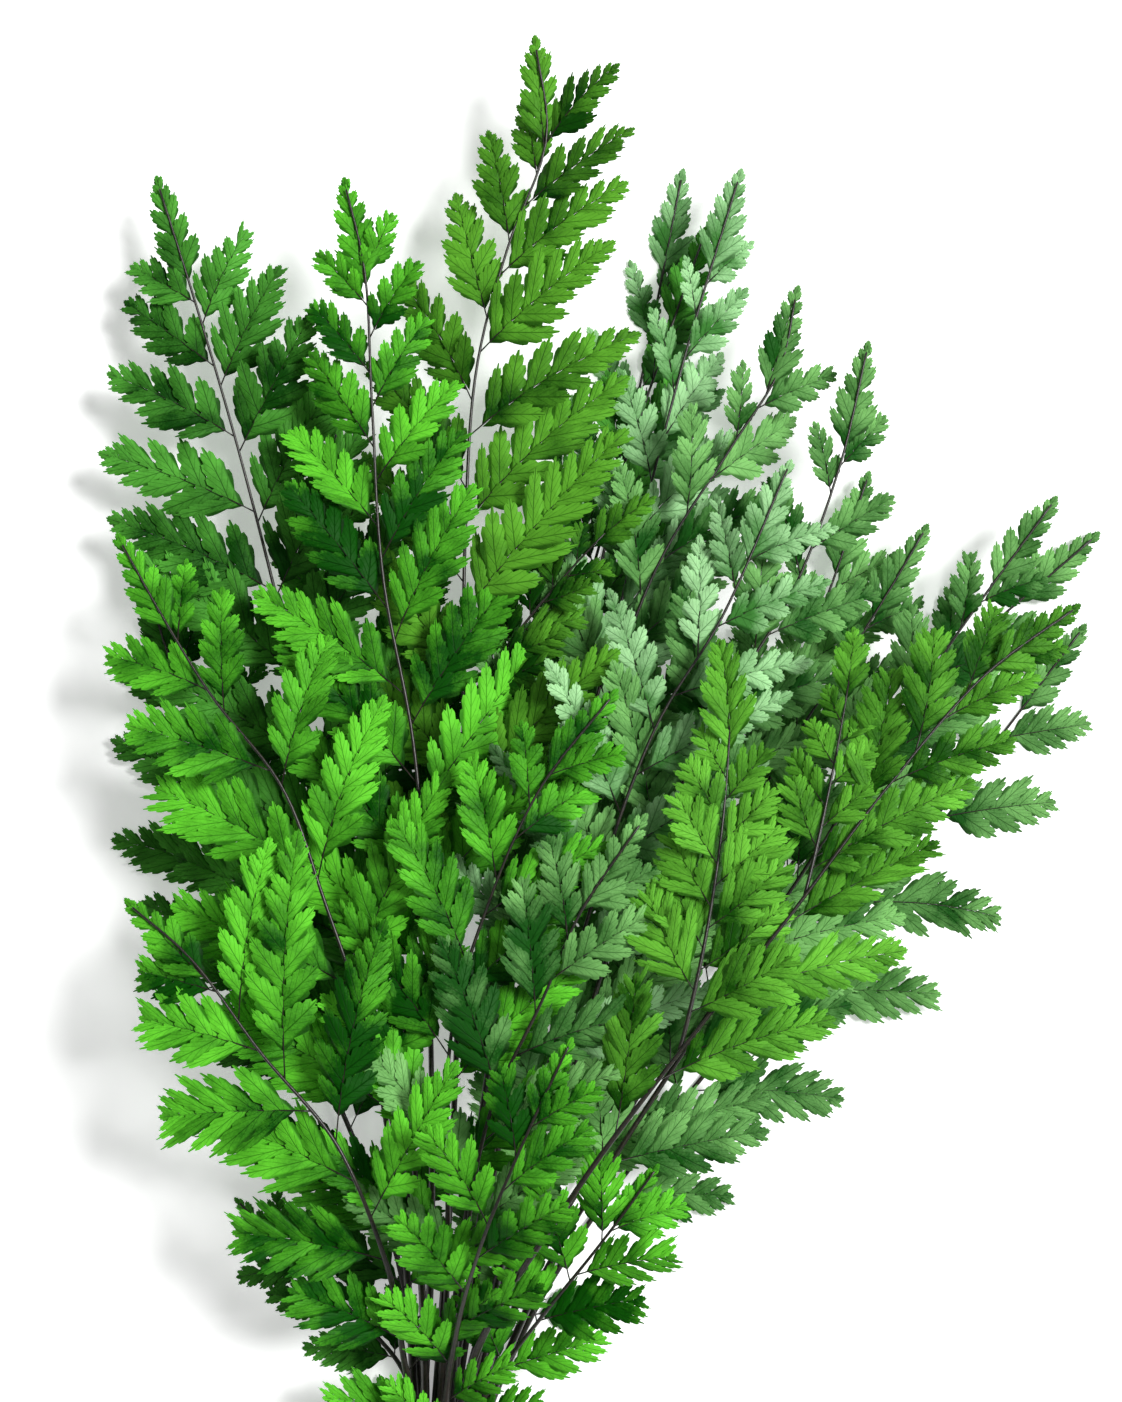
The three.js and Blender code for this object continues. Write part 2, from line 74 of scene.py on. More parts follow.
fronds = [
    ("low_left", 0, 0, 0, (0.15, 0.28), 0.8, 0, "deep", (0.5, 0.5),
     [(-14, 36), (-34, 60), (-56, 80), (-76, 100)],
     [28, 34, 32, 26, 16], [30, 32, 26, 20, 12]),
    ("left_rear", 0, 1, 1, (0.2, 0.2), 0.85, 0, "deep", (0.46, 0.46),
     [(-17, 80), (-44, 150), (-71, 215), (-94, 280), (-112, 335)],
     [50, 60, 64, 60, 52, 42, 32, 18], [50, 64, 68, 62, 52, 40, 28, 16]),
    ("tall_rear", 0, 2, 0, (0.45, 0.45), 0.55, 0, "pale", (0.36, 0.36),
     [(10, 100), (28, 200), (50, 300), (72, 400), (88, 480)],
     [72, 72, 64, 54, 42, 30, 16], [72, 72, 64, 54, 42, 30, 16]),
    ("right_rear_inner", 0, 3, 2, (0.2, 0.24), 0.65, 0, "soft", (0.42, 0.42),
     [(22, 80), (58, 165), (100, 245), (136, 312), (156, 368)],
     [56, 66, 70, 66, 54, 42, 30, 16], [56, 66, 70, 66, 54, 42, 30, 16]),
    ("right_rear_outer", 0, 4, 1, (0.22, 0.26), 0.7, 0, "soft", (0.42, 0.42),
     [(30, 70), (78, 150), (130, 228), (185, 297), (240, 346)],
     [66, 68, 62, 54, 44, 32, 18], [62, 66, 62, 52, 40, 28, 16]),
    ("low_right", 0, 5, 0, (0.16, 0.1), 0.85, 0, "soft", (0.46, 0.46),
     [(34, 62), (78, 125), (134, 190), (188, 250), (236, 312)],
     [50, 62, 66, 60, 52, 42, 30, 18], [34, 46, 56, 60, 56, 46, 34, 20]),
    ("left_top", 1, 0, 6, (0.34, 0.4), 0.84, 0, "deep", (0.48, 0.48),
     [(-14, 90), (-32, 200), (-54, 300), (-74, 378), (-90, 432), (-103, 473)],
     [66, 72, 72, 72, 70, 66, 60, 52, 42, 28, 16], [72, 74, 74, 72, 66, 62, 56, 48, 38, 26, 15]),
    ("left_inner", 1, 1, 4, (0.46, 0.46), 0.7, 0, "deep", (0.46, 0.46),
     [(-9, 100), (-19, 200), (-29, 285), (-36, 340), (-39, 384)],
     [62, 64, 60, 52, 42, 30, 16], [62, 62, 58, 50, 40, 28, 15]),
    ("right_top_rear", 1, 2, 3, (0.46, 0.46), 0.6, 50, "deep", (0.42, 0.42),
     [(12, 120), (32, 240), (58, 345), (80, 412), (96, 457)],
     [66, 64, 58, 48, 38, 26, 14], [62, 60, 54, 46, 36, 24, 12]),
    ("right_top", 1, 3, 5, (0.46, 0.46), 0.56, 30, "pale", (0.4, 0.4),
     [(18, 110), (40, 220), (66, 325), (88, 410), (108, 476)],
     [66, 64, 58, 50, 42, 32, 22, 14], [70, 68, 62, 54, 46, 36, 26, 14]),
    ("right_middle_rear", 1, 4, 4, (0.38, 0.38), 0.6, 20, "soft", (0.4, 0.4),
     [(30, 95), (72, 180), (122, 262), (158, 318), (176, 348)],
     [64, 64, 58, 48, 38, 26, 14], [64, 64, 58, 48, 38, 26, 14]),
    ("right_outer", 1, 5, 6, (0.3, 0.26), 0.64, 0, "soft", (0.42, 0.42),
     [(36, 75), (88, 160), (140, 238), (184, 306), (222, 358)],
     [60, 64, 60, 54, 46, 36, 28, 14], [58, 64, 60, 54, 46, 36, 26, 14]),
    ("centre_left_tall", 2, 0, 10, (0.4, 0.42), 0.68, 0, "fresh", (0.4, 0.4),
     [(-3, 100), (-4, 200), (-9, 270), (-20, 330), (-24, 390), (-27, 440), (-34, 470)],
     [79, 79, 74, 66, 58, 50, 42, 34, 26, 16], [74, 74, 70, 62, 54, 46, 38, 32, 24, 16]),
    ("top_centre", 2, 1, 8, (0.42, 0.44), 0.7, -15, "moss", (0.42, 0.44),
     [(4, 120), (8, 240), (9, 346), (13, 405), (24, 448), (38, 488), (34, 522)],
     [68, 70, 68, 64, 60, 56, 50, 42, 30, 18], [80, 100, 88, 78, 70, 62, 56, 48, 38, 24]),
    ("right_upper", 2, 2, 7, (0.46, 0.46), 0.6, 20, "soft", (0.4, 0.4),
     [(18, 120), (44, 230), (76, 330), (104, 376), (122, 405), (128, 432)],
     [68, 66, 60, 50, 40, 28, 16], [72, 70, 64, 54, 44, 32, 18]),
    ("centre_right", 2, 3, 11, (0.38, 0.38), 0.82, 0, "pale", (0.34, 0.34),
     [(26, 100), (50, 200), (76, 275), (100, 315), (124, 369)],
     [66, 70, 66, 60, 52, 44, 34, 22], [66, 70, 68, 62, 54, 46, 34, 22]),
    ("right_middle", 2, 4, 9, (0.38, 0.34), 0.62, 15, "soft", (0.4, 0.4),
     [(34, 105), (66, 212), (102, 285), (126, 325), (143, 370), (153, 412)],
     [70, 72, 66, 56, 46, 36, 26, 14], [66, 70, 64, 56, 46, 36, 26, 14]),
    ("left_middle", 3, 0, 12, (0.26, 0.36), 0.76, 0, "fresh", (0.5, 0.36),
     [(-8, 90), (-22, 160), (-40, 215), (-55, 255), (-80, 287), (-97, 314), (-113, 342)],
     [60, 70, 72, 66, 54, 40, 22], [80, 80, 68, 56, 44, 30, 16]),
    ("centre", 3, 1, 13, (0.3, 0.33), 0.7, 0, "fresh", (0.4, 0.4),
     [(3, 90), (5, 170), (18, 215), (36, 255), (61, 287)],
     [64, 70, 66, 56, 44, 30, 16], [62, 66, 60, 50, 40, 28, 16]),
    ("centre_low", 3, 2, 14, (0.32, 0.32), 0.7, 0, "soft", (0.42, 0.42),
     [(8, 80), (18, 140), (37, 182), (50, 212), (71, 243)],
     [54, 60, 58, 48, 36, 22], [52, 56, 52, 42, 30, 18]),
    ("low_front", 3, 3, 15, (0.34, 0.06), 0.7, 0, "fresh", (0.5, 0.5),
     [(16, 34), (35, 64), (56, 94), (76, 122)],
     [38, 44, 42, 34, 20], [32, 40, 42, 38, 28, 16]),
    ("front_left", 4, 0, 16, (0.1, 0.12), 0.82, 0, "fresh", (0.56, 0.34),
     [(-12, 40), (-18, 86), (-34, 130), (-61, 163), (-86, 196), (-107, 214)],
     [38, 48, 54, 58, 54, 44, 30, 18], [60, 66, 64, 78, 86, 64, 38, 20]),
    ("front_right", 4, 1, 17, (0.38, 0.4), 0.48, -12, "olive", (0.42, 0.36),
     [(14, 55), (45, 111), (82, 162), (120, 209), (157, 257), (191, 295), (223, 318)],
     [56, 142, 62, 96, 56, 44, 34, 20], [64, 68, 62, 54, 46, 38, 28, 18]),
    ("front_centre", 5, 0, 18.5, (0.08, 0.1), 0.62, 0, "fresh", (0.46, 0.46),
     [(2, 36), (8, 70), (18, 104), (32, 138), (46, 168)],
     [36, 44, 46, 42, 32, 18], [34, 42, 44, 38, 28, 16]),
]


def slot_of(row, place):
    """Where a stem lies in the bundle at the tie: (across, up)."""
    return (place - (rows[row] - 1) / 2) * stem_pitch, bundle_floor + row * stem_pitch


def height_at(row, place, layer, tip, x, y):
    """Height of a frond's middle surface over (x, y): its place in the bundle, then by a smooth step its
    layer, at r + layer times layer pitch times (1 + arch (1.5 exp(-a² - b²) - 0.5)) over the fan."""
    away = np.clip((y + 0.35 * np.abs(x) - tie_width) / rise_length, 0, 1)
    risen = away * away * (3 - 2 * away)
    across = (x - 0.12 * fan_width) / (0.46 * fan_width)
    along = (y - 0.5 * fan_length) / (0.42 * fan_length)
    over = 1.5 * np.exp(-across * across - along * along) - 0.5
    share = np.clip(np.hypot(x, y) / math.hypot(*tip), 0, 1)
    lowest = stem_radius + (tip_radius - stem_radius) * share**0.8
    top = lowest + layer * layer_pitch * (1 + arch * over)
    return slot_of(row, place)[1] * (1 - risen) + top * risen


def curve_through(points, count=260):
    """Centripetal Catmull-Rom curve through points, as count points at equal steps along it. Knots are
    spaced by the square root of the distance, and each span is the cubic through its two end points."""
    p = np.array(points, float)
    p = np.vstack([2 * p[0] - p[1], p, 2 * p[-1] - p[-2]])
    fine = []
    for p0, p1, p2, p3 in zip(p, p[1:], p[2:], p[3:], strict=False):
        d0, d1, d2 = (math.dist(a, b) ** 0.5 for a, b in ((p0, p1), (p1, p2), (p2, p3)))
        m1 = ((p1 - p0) / d0 - (p2 - p0) / (d0 + d1) + (p2 - p1) / d1) * d1
        m2 = ((p2 - p1) / d1 - (p3 - p1) / (d1 + d2) + (p3 - p2) / d2) * d1
        t = np.linspace(0, 1, 40, endpoint=False)[:, None]
        fine.append(
            p1 + m1 * t + (3 * (p2 - p1) - 2 * m1 - m2) * t**2 + (2 * (p1 - p2) + m1 + m2) * t**3
        )
    fine = np.vstack([*fine, p[-2][None]])
    run = np.concatenate([[0], np.cumsum(np.linalg.norm(np.diff(fine, axis=0), axis=1))])
    even = np.linspace(0, run[-1], count)
    return np.column_stack([np.interp(even, run, fine[:, k]) for k in range(p.shape[1])]), run[-1]


# ---- Stems ----
# The stipe, rachis and the finer stalks inside every side leaf. They are round, hard and nearly black, and
# each grows out of the one before it.


def unit(v):
    return v / np.linalg.norm(v, axis=-1, keepdims=True)


def tube(points, radii, sides):
    """A closed tube: a ring of points round each place, at radius r, square to the curve there, with a point
    at each end. Returns its vertices and triangles."""
    ahead = unit(np.gradient(points, axis=0))
    side = unit(np.cross(ahead, (0.02, 0.03, 1.0)))
    above = np.cross(side, ahead)
    turn = np.linspace(0, 2 * math.pi, sides, endpoint=False)[None, :, None]
    ring = side[:, None] * np.cos(turn) + above[:, None] * np.sin(turn)
    body = (points[:, None] + ring * np.asarray(radii)[:, None, None]).reshape(-1, 3)
    vertices = np.vstack([body, points[0] - ahead[0] * radii[0] * 0.3, points[-1] + ahead[-1] * radii[-1]])
    i = np.arange(len(points) - 1)[:, None] * sides
    a = i + np.arange(sides)
    b = i + (np.arange(sides) + 1) % sides
    ahead_faces = np.stack([a, b, b + sides], -1).reshape(-1, 3)
    back_faces = np.stack([a, b + sides, a + sides], -1).reshape(-1, 3)
    k = np.arange(sides)
    nxt = (k + 1) % sides
    last = (len(points) - 1) * sides
    start = np.column_stack([nxt, k, np.full(sides, len(body))])
    end = np.column_stack([last + k, last + nxt, np.full(sides, len(body) + 1)])
    return vertices, np.concatenate([ahead_faces, back_faces, start, end])


# ---- Lobes ----
# The smallest part of the leaf: a thin blade with a toothed edge, joined to its neighbours at its foot, sunk
# along its vein and swollen beside it. One lobe is drawn here, and every leaf repeats it at its own size.
lobe_outline = [
    (0.0, -1.0), (0.14, -0.97), (0.2, -0.76), (0.32, -0.99), (0.44, -1.1), (0.53, -1.04), (0.55, -0.82),
    (0.68, -0.93), (0.78, -0.78), (0.77, -0.55), (0.9, -0.53), (0.96, -0.32), (0.93, -0.14), (1.04, -0.04),
    (1.05, 0.12), (0.94, 0.2), (0.97, 0.4), (0.89, 0.6), (0.77, 0.6), (0.77, 0.84), (0.66, 0.98), (0.54, 0.84),
    (0.5, 1.06), (0.4, 1.1), (0.22, 0.74), (0.14, 0.97), (0.0, 1.0),
]
vein_points = [(0.14, 0.0), (0.4, 0.01), (0.66, 0.03), (0.86, 0.05)]
swell_points = [(0.26, -0.46), (0.26, 0.44), (0.48, -0.5), (0.48, 0.48), (0.7, -0.36), (0.72, 0.42)]
rim = len(lobe_outline)

# The top is filled through its vein and swell points, the underside as a fan round a point of its own.
drawn = [*lobe_outline, *vein_points, *swell_points]
found = delaunay_2d_cdt(drawn, [], [list(range(rim))], 1, 1e-6)
source = [ids[0] for ids in found[3]]
top_faces = np.array([[source[i] for i in face] for face in found[2]])
corners = np.array(drawn)[top_faces]
edge, other = corners[:, 1] - corners[:, 0], corners[:, 2] - corners[:, 0]
turned = edge[:, 0] * other[:, 1] - edge[:, 1] * other[:, 0] < 0
top_faces[turned] = top_faces[turned][:, ::-1]
under_middle = (0.3, 0.0)
k = np.arange(rim)
under_faces = np.column_stack([(k + 1) % rim, k, np.full(rim, len(drawn))])
lobe_faces = np.concatenate([top_faces, under_faces])
lobe_uv = np.array([*drawn, under_middle])
# Heights in half widths of the lobe: 0 on the vein, up beside it and down at the edge.
lobe_swell = np.concatenate(
    [np.full(rim, -0.03), np.zeros(len(vein_points)), np.full(len(swell_points), 0.09), [0.0]]
)
leaf_thickness = 0.3
compound_from = 90  # millimetres: longer side leaves are compound


class Growth:
    """The lobes and tubes of one frond as they are grown."""

    def __init__(self, seed):
        self.rng = np.random.default_rng(seed)
        self.tubes = []
        self.lobes = []

    def tube(self, points, radii, sides=6):
        points = points.copy()
        points[:, 2] = np.maximum(points[:, 2], np.asarray(radii) + 0.1)
        self.tubes.append(tube(points, radii, sides))

    def lobe(self, *columns):
        """Adds lobes, one a row: foot, way, side, normal, length, half width, sweep, curl, tint, hand."""
        self.lobes.append(columns)


def leaflet(growth, base, ahead, up, length, width, bow, droop, tint, stalk=0.25, foot=0.1, lean=(50, 28)):
    """One leaf blade. Its vein runs c(t) = base + L (t ahead + bow t² side - droop t² up). Lobes stand foot to
    foot on both sides of it and lean forward, more so towards its tip. They reach W f(t) out, where
    f = (t / m)^foot ((1 - t) / (1 - m))^0.9 and m = foot / (foot + 0.9)."""
    rng = growth.rng
    side = unit(np.cross(ahead, up))
    up = np.cross(side, ahead)

    def vein(t):
        t = np.asarray(t)[..., None]
        return base + length * (t * ahead + bow * t**2 * side - droop * t**2 * up)

    growth.tube(vein(np.linspace(0, 0.97, 9)), stalk * (1 - 0.85 * np.linspace(0, 1, 9)), 5)
    pairs = int(np.clip(round(2 + length / 13.5), 4, 9))
    first = 0.06 + 0.2 * foot
    widest = foot / (foot + 0.9)
    fold = rng.normal(0.2, 0.12)
    for hand in (1, -1):
        shift = 0.4 if hand < 0 else 0.0
        to_go = 1 - np.clip(np.arange(pairs + 1) - shift, 0, pairs) / pairs
        marks = first + (0.93 - first) * (1 - to_go**1.35)
        at, half = (marks[1:] + marks[:-1]) / 2, 0.57 * length * np.diff(marks)
        forward = unit(ahead + 2 * bow * at[:, None] * side - 2 * droop * at[:, None] * up)
        out = unit(np.cross(forward, up)) * hand
        turn = np.radians(lean[0] + (lean[1] - lean[0]) * at + rng.normal(0, 2.5, pairs))[:, None]
        raised = (fold + rng.normal(0, 0.08, pairs))[:, None]
        above = unit(np.cross(out, forward)) * hand
        way = np.cos(turn) * forward + np.sin(turn) * (np.cos(raised) * out + np.sin(raised) * above)
        normal = unit(np.cross(way, forward)) * hand
        reach = (at / widest) ** foot * ((1 - at) / (1 - widest)) ** 0.9 + 0.05
        size = 0.5 * width * reach / np.sin(turn[:, 0]) * rng.normal(1, 0.06, pairs)
        sweep = rng.normal(0.1, 0.04, pairs)
        curl = rng.normal(0.12, 0.07, pairs)
        # Painted shade: lobes near the foot of the leaf are darker and those near its tip lighter. Each lobe
        # also varies at random.
        tints_with_painted_shade = tint + 0.3 * (at - 0.4) + rng.normal(0, 0.09, pairs)
        growth.lobe(vein(at), way, forward, normal, size, half, sweep, curl, tints_with_painted_shade, np.full(pairs, hand))
    forward = unit(ahead + 1.8 * bow * side - 1.8 * droop * up)
    out = unit(np.cross(forward, up))
    last = np.array([0.09 * length + 0.8])
    growth.lobe(
        vein([0.91]), forward[None], out[None], unit(np.cross(out, forward))[None], last, 0.3 * last,
        np.zeros(1), np.array([0.1]), np.array([tint]), np.full(1, -1),
    )


def side_leaf(growth, base, ahead, up, length, width, hand, tint, foot, compound):
    """One side leaf of a frond. Most are a single blade. A compound one has a stalk of its own with small
    blades on both sides by turns, and its far half is one large blade."""
    rng = growth.rng
    bow = hand * rng.normal(0.1, 0.04)
    droop = rng.normal(0.08, 0.05)
    if not compound:
        leaflet(growth, base, ahead, up, length, width, bow, droop, tint, 0.3, foot)
        return
    side = unit(np.cross(ahead, up))
    up = np.cross(side, ahead)

    def stalk_at(t):
        t = np.asarray(t)[..., None]
        return base + length * (t * ahead + bow * t**2 * side - droop * t**2 * up)

    growth.tube(stalk_at(np.linspace(0, 0.8, 16)), np.linspace(0.4 + 0.003 * length, 0.3, 16), 6)
    pairs = int(round(length / 22))
    for turn in (1, -1):
        for i in range(pairs):
            at = 0.1 + 0.62 * (i + (0.0 if turn > 0 else 0.5)) / pairs
            forward = unit(ahead + 2 * bow * at * side - 2 * droop * at * up)
            out = unit(np.cross(forward, up)) * turn
            lean = math.radians(48 - 14 * at + rng.normal(0, 4))
            way = unit(math.cos(lean) * forward + math.sin(lean) * out + rng.normal(0.02, 0.1) * up)
            face = unit(up + rng.normal(0, 0.25) * out + rng.normal(0, 0.15) * forward)
            reach = length * (0.31 - 0.24 * at)
            leaflet(
                growth, stalk_at(at), way, face, reach, 0.62 * reach, -turn * rng.normal(0.08, 0.04),
                rng.normal(0.1, 0.06), tint + rng.normal(0, 0.08), 0.25, 0.22,
            )
    at = 0.72
    forward = unit(ahead + 2 * bow * at * side - 2 * droop * at * up)
    leaflet(
        growth, stalk_at(at), forward, up, 0.3 * length, 0.14 * length, bow, droop, tint, 0.3, 0.1, (44, 28)
    )


def turned_about(p, axis, angle):
    """p turned round a unit axis: p cos + (axis x p) sin + axis (axis . p) (1 - cos)."""
    along = axis * (axis @ p) * (1 - math.cos(angle))
    return p * math.cos(angle) + np.cross(axis, p) * math.sin(angle) + along


def frond(number, row, place, layer, bare, wide, roll, foot, breadth, route, left, right):
    """Grows one whole frond from its cut end and returns its growth, in millimetres about the tie."""
    growth = Growth(100 + number)
    rng = growth.rng
    x0 = slot_of(row, place)[0]
    cut = cut_length + cut_stagger * math.sin(2.4 * number)
    in_tie = tie_width / 2 + 1
    plan, total = curve_through([(1.35 * x0, -cut), (x0, -in_tie), (x0, in_tie), *route])
    lie = (row, place, layer, route[-1])
    line = np.column_stack([plan, height_at(*lie, plan[:, 0], np.maximum(plan[:, 1], 0))])
    share = np.linspace(0, 1, len(line))
    away = np.where(plan[:, 1] < 0, 0, np.hypot(plan[:, 0], plan[:, 1])) / math.hypot(*route[-1])
    radius = stem_radius + (tip_radius - stem_radius) * np.clip(away, 0, 1) ** 0.8
    radius = radius * (1 - 0.35 * np.clip(2 * away, 0, 1))
    growth.tube(line[::3], radius[::3] * (1 + 0.04 * np.sin(29 * share[::3])), 10)
    run = unit(np.gradient(line, axis=0))
    rolled = math.radians(roll)
    frond_tint = rng.normal(0.5, 0.05)
    tip_length = min(42.0, 0.14 * total)
    tip_from = 1 - 0.92 * tip_length / total
    sides = ((1, left, bare[0], breadth[0]), (-1, right, bare[1], breadth[1]))
    for hand, lengths, share_bare, broad in sides:
        first = cut / total + (1 - cut / total) * share_bare
        for i, length in enumerate(lengths):
            reached = (i + (0.45 if hand < 0 else 0)) / len(lengths)
            at = first + (0.985 - first) * (1 - (1 - reached) ** 1.25)
            if at > tip_from + 0.01:
                continue
            base = np.array([np.interp(at, share, line[:, k]) for k in range(3)])
            base[2] -= 0.9 * np.interp(at, share, radius) + 0.4
            ahead = unit(np.array([np.interp(at, share, run[:, k]) for k in range(3)]))
            out = unit(np.cross((0, 0, 1.0), ahead)) * hand
            spread = wide * (1 - 0.33 * reached) + rng.normal(0, 0.07)
            way = math.cos(spread) * ahead + math.sin(spread) * out
            end = base + length * way
            slope = (height_at(*lie, end[0], max(end[1], 0)) - base[2]) / length
            way = unit(np.array([way[0], way[1], slope + rng.normal(0.0, 0.08)]))
            above = unit(np.cross(np.cross(way, (0, 0, 1.0)), way))
            face = unit(above + rng.normal(0, 0.2) * out + rng.normal(0, 0.1) * ahead)
            if roll:
                way, face = turned_about(way, ahead, rolled), turned_about(face, ahead, rolled)
            width = broad * (1.22 - 0.0055 * length) * length
            leaf_tint = frond_tint + rng.normal(0, 0.14)
            side_leaf(growth, base, way, face, length, width, -hand, leaf_tint, foot, length > compound_from)
    near = int(tip_from * (len(line) - 1))
    leaflet(
        growth, line[near], unit(line[-1] - line[near]), (0, 0, 1.0), tip_length, 0.36 * tip_length, 0.0, 0.05,
        frond_tint, 0.3, 0.06, (42, 26),
    )
    return growth


def mesh_object(name, vertices, faces):
    """A mesh object from arrays, in millimetres about the tie, smooth but for edges over 70°."""
    mesh = bpy.data.meshes.new(name)
    places = vertices * mm + tie_at
    mesh.vertices.add(len(places))
    mesh.vertices.foreach_set("co", places.astype(np.float32).ravel())
    mesh.loops.add(faces.size)
    mesh.loops.foreach_set("vertex_index", faces.astype(np.int32).ravel())
    mesh.polygons.add(len(faces))
    mesh.polygons.foreach_set("loop_start", np.arange(0, faces.size, 3, dtype=np.int32))
    mesh.update(calc_edges=True)
    mesh.set_sharp_from_angle(angle=math.radians(70))
    made = bpy.data.objects.new(name, mesh)
    bpy.context.scene.collection.objects.link(made)
    return made


def joined(parts):
    """Vertices and triangles of several bodies as one pair of arrays."""
    starts = np.cumsum([0] + [len(v) for v, _ in parts[:-1]])
    faces = [f + s for (_, f), s in zip(parts, starts, strict=True)]
    return np.vstack([v for v, _ in parts]), np.vstack(faces)


def blade_object(name, growth):
    """All of a frond's lobes as one mesh. A lobe's point (u, v) lies at
    o + l u a + w v (s - (s.a) g a) + sweep l u² s + (w swell(u, v) - curl l u²) n, where a is its way, s the
    way of the vein it stands on, n its normal and g goes from 0 at its foot to 1 at a third of its length.
    The map Lobe holds (u, v), the map OFBake gives each lobe's top and underside a cell each, and tint is its
    shade of green: it varies at random and also carries painted shade that darkens the lobes near the foot of
    each leaf. Points near or below the table are lifted smoothly to lie above it."""
    columns = (np.concatenate(part) for part in zip(*growth.lobes, strict=True))
    origin, way, side, normal, size, half, sweep, curl, tint, hand = columns
    u, v = lobe_uv[:, 0], lobe_uv[:, 1]
    rise = half[:, None] * (lobe_swell + 0.13 * v) - (size * curl)[:, None] * u**2
    rise[:, -1] -= leaf_thickness
    points = (
        origin[:, None]
        + way[:, None] * (size[:, None] * u)[..., None]
        + side[:, None] * (half[:, None] * v + (sweep * size)[:, None] * u**2)[..., None]
        - way[:, None] * ((half * np.sum(side * way, axis=1))[:, None] * v * np.clip(3 * u, 0, 1))[..., None]
        + normal[:, None] * rise[..., None]
    )
    count, per = len(origin), len(lobe_uv)
    points[..., 2] = 0.5 * (points[..., 2] + np.sqrt(points[..., 2] ** 2 + 1.5))
    corner = np.where((hand > 0)[:, None, None], lobe_faces[None], lobe_faces[None, :, ::-1])
    faces = (corner + np.arange(count)[:, None, None] * per).reshape(-1, 3)
    corner = corner.ravel()
    made = mesh_object(name, points.reshape(-1, 3), faces)
    mesh = made.data
    own = mesh.uv_layers.new(name="Lobe")
    own.uv.foreach_set("vector", np.column_stack([u[corner], 0.5 + 0.5 * v[corner]]).astype(np.float32).ravel())
    wide = math.ceil(math.sqrt(2 * count))
    cell = np.repeat(np.arange(count) * 2, lobe_faces.size)
    cell = cell + np.tile(np.repeat(np.arange(len(lobe_faces)) >= len(top_faces), 3), count)
    inside = np.column_stack([0.06 + 0.84 * u[corner], 0.5 + 0.42 * v[corner]])
    baked = (np.column_stack([cell % wide, cell // wide]) + inside) / wide
    atlas = mesh.uv_layers.new(name="OFBake")
    atlas.uv.foreach_set("vector", baked.astype(np.float32).ravel())
    shade = mesh.attributes.new("tint", "FLOAT", "POINT")
    shade.data.foreach_set("value", np.repeat(tint, per).astype(np.float32))
    return made


# ---- Leaf materials ----
# Preserved leaf: a matt, slightly waxy skin with darker veins. Light comes through it, so it is a
# Principled skin mixed with a translucent one. Each kind of green is one material. Light and shade are also
# painted into the colour: each lobe is darker at its foot, the lobes of a leaf are darker towards the leaf's
# foot, and a painted shadow lies along each lobe's edge where its neighbour overlaps it.


def node(tree, kind, **values):
    """A shader node with its settings and unlinked inputs set."""
    made = tree.nodes.new(kind)
    for key, value in values.items():
        if hasattr(made, key):
            setattr(made, key, value)
        else:
            made.inputs[key].default_value = value
    return made


def maths(tree, operation, a, b=None, clamp=False):
    """A math node on sockets or numbers."""
    made = tree.nodes.new("ShaderNodeMath")
    made.operation = operation
    made.use_clamp = clamp
    for socket, value in zip(made.inputs, (a, b), strict=False):
        if value is None:
            continue
        if isinstance(value, (int, float)):
            socket.default_value = value
        else:
            tree.links.new(value, socket)
    return made.outputs[0]


